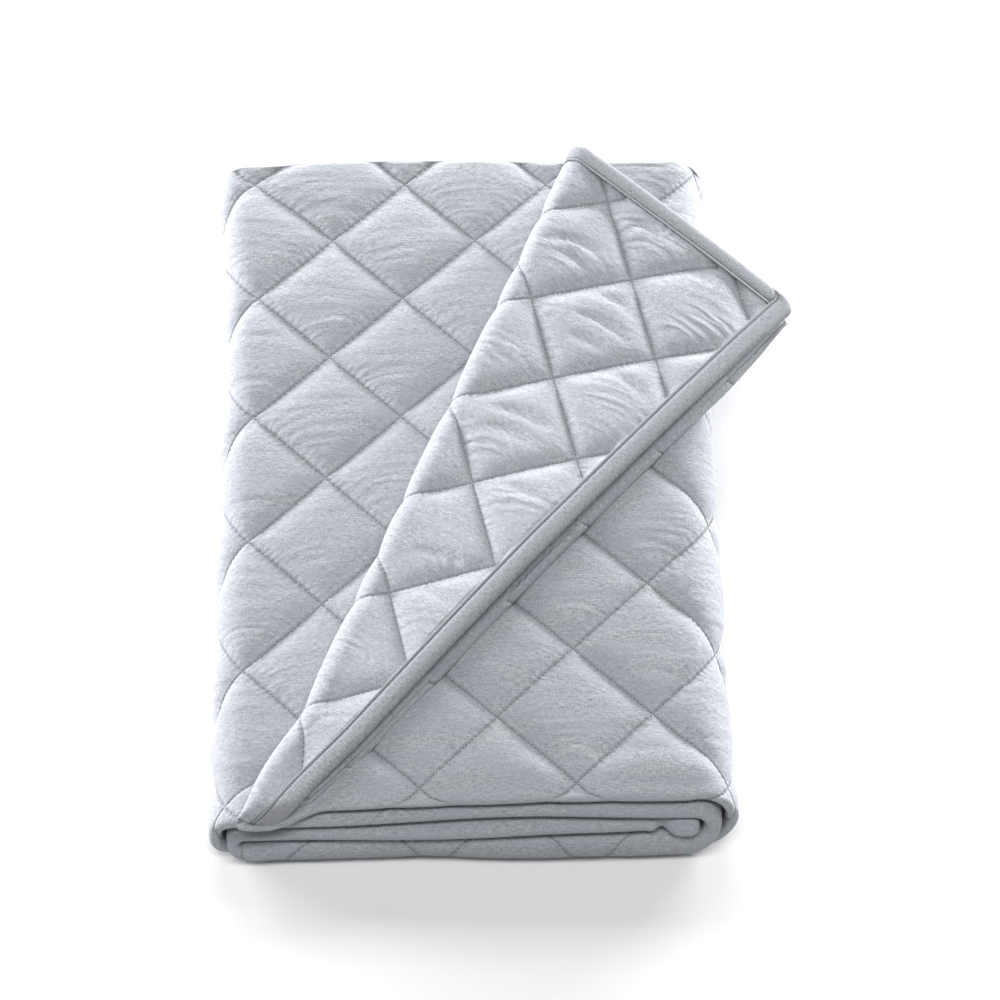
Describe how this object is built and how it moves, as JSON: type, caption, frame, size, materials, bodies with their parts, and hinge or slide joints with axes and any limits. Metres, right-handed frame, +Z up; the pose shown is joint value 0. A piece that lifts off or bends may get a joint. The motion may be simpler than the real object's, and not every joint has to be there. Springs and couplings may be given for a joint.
{
  "type": "folded quilted bedspread",
  "caption": "Quilted bedspread folded into a flat pad, a tape-bound corner of its top layer turned back; it lies on a bed, bench or shelf as folded bedding.",
  "frame": {"origin": "under the middle of the whole, on the surface it lies on", "axes": "+Y from the folded front edge to the back, +X to the right seen from the front, +Z up"},
  "size_m": [0.5828, 0.8092, 0.1274],
  "materials": {
    "quilted_cloth": "matte heathered weave",
    "binding_tape": "matte woven tape"
  },
  "bodies": {
    "root": {"quilt": "quilted_cloth", "binding_side": "binding_tape", "binding_end": "binding_tape"}
  },
  "joints": []
}
